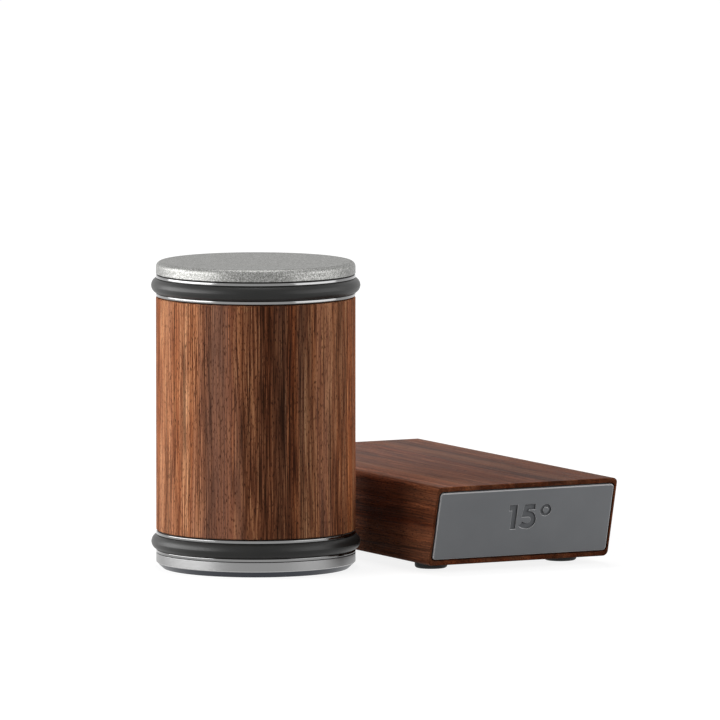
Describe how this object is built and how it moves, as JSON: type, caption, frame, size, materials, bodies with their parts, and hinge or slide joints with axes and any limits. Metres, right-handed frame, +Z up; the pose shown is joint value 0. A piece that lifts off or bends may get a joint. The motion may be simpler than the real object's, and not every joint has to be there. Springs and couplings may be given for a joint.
{
  "type": "rolling knife sharpener",
  "caption": "Wood-barrelled roller with rubber tyres, a grinding disc and a honing disc on its ends, beside a magnetic wooden angle guide that holds the blade.",
  "frame": {"origin": "centre of the honing disc's flat face, on which the roller stands", "axes": "+Z up along the roller's axis, +X from the roller across the guide's width, +Y along the guide's length to its far end"},
  "size_m": [0.1214, 0.1182, 0.0863],
  "materials": {
    "walnut": "oiled walnut, open pored",
    "polished_aluminium": "turned and polished",
    "turned_aluminium": "turned",
    "satin_steel": "satin turned",
    "diamond_coating": "blasted, fine diamond grit",
    "black_rubber": "semi-matt",
    "foot_rubber": "matt",
    "bearing_steel": "ground and polished",
    "cage_nylon": "moulded",
    "spring_steel": "phosphated",
    "zinc_steel": "zinc plated",
    "axle_steel": "ground",
    "pad_silicone": "moulded, matt",
    "magnet_nickel": "nickel plated"
  },
  "bodies": {
    "guide": {"guide_block": "walnut", "blade_pad_15": "pad_silicone", "blade_pad_20": "pad_silicone", "front_magnet_1": "magnet_nickel", "front_magnet_2": "magnet_nickel", "front_magnet_3": "magnet_nickel", "rear_magnet_1": "magnet_nickel", "rear_magnet_2": "magnet_nickel", "rear_magnet_3": "magnet_nickel", "foot_front_left": "foot_rubber", "foot_front_right": "foot_rubber", "foot_rear_left": "foot_rubber", "foot_rear_right": "foot_rubber"},
    "grip": {"wood_barrel": "walnut", "upper_bearing_carrier": "turned_aluminium", "upper_carrier_screw_1": "zinc_steel", "upper_carrier_screw_2": "zinc_steel", "upper_carrier_screw_3": "zinc_steel", "upper_circlip": "spring_steel", "upper_bearing_outer_ring": "bearing_steel", "upper_bearing_shield": "bearing_steel", "lower_bearing_carrier": "turned_aluminium", "lower_carrier_screw_1": "zinc_steel", "lower_carrier_screw_2": "zinc_steel", "lower_carrier_screw_3": "zinc_steel", "lower_circlip": "spring_steel", "lower_bearing_outer_ring": "bearing_steel", "lower_bearing_shield": "bearing_steel"},
    "rotor": {"axle": "axle_steel", "spacer_tube": "turned_aluminium", "upper_bearing_inner_ring": "bearing_steel", "upper_hub": "polished_aluminium", "upper_tyre": "black_rubber", "upper_hub_nut": "zinc_steel", "lower_bearing_inner_ring": "bearing_steel", "lower_hub": "polished_aluminium", "lower_tyre": "black_rubber", "lower_hub_nut": "zinc_steel"},
    "upper_cage": {"upper_bearing_cage": "cage_nylon", "upper_bearing_ball_1": "bearing_steel", "upper_bearing_ball_2": "bearing_steel", "upper_bearing_ball_3": "bearing_steel", "upper_bearing_ball_4": "bearing_steel", "upper_bearing_ball_5": "bearing_steel", "upper_bearing_ball_6": "bearing_steel", "upper_bearing_ball_7": "bearing_steel"},
    "lower_cage": {"lower_bearing_cage": "cage_nylon", "lower_bearing_ball_1": "bearing_steel", "lower_bearing_ball_2": "bearing_steel", "lower_bearing_ball_3": "bearing_steel", "lower_bearing_ball_4": "bearing_steel", "lower_bearing_ball_5": "bearing_steel", "lower_bearing_ball_6": "bearing_steel", "lower_bearing_ball_7": "bearing_steel"},
    "diamond_disc": {"diamond_disc": "diamond_coating", "diamond_disc_stud": "zinc_steel"},
    "honing_disc": {"honing_disc": "satin_steel", "honing_disc_stud": "zinc_steel"}
  },
  "joints": [
    {"name": "roller_lift", "type": "slide", "parent": "guide", "child": "grip", "axis": [0, 0, 1], "range_m": [0, 0.12]},
    {"name": "roll", "type": "hinge", "parent": "grip", "child": "rotor", "pos_m": [0, 0, 0.0435], "axis": [0, 0, 1], "continuous": true},
    {"name": "upper_cage_spin", "type": "hinge", "parent": "grip", "child": "upper_cage", "pos_m": [0, 0, 0.0704], "axis": [0, 0, 1], "continuous": true},
    {"name": "lower_cage_spin", "type": "hinge", "parent": "grip", "child": "lower_cage", "pos_m": [0, 0, 0.0166], "axis": [0, 0, 1], "continuous": true},
    {"name": "diamond_disc_off", "type": "slide", "parent": "rotor", "child": "diamond_disc", "axis": [0, 0, 1], "range_m": [0, 0.012]},
    {"name": "honing_disc_off", "type": "slide", "parent": "rotor", "child": "honing_disc", "axis": [0, 0, -1], "range_m": [0, 0.012]}
  ],
  "couplings": [
    {"joint": "upper_cage_spin", "follows": "roll", "ratio": 0.36767},
    {"joint": "lower_cage_spin", "follows": "roll", "ratio": 0.36767}
  ]
}
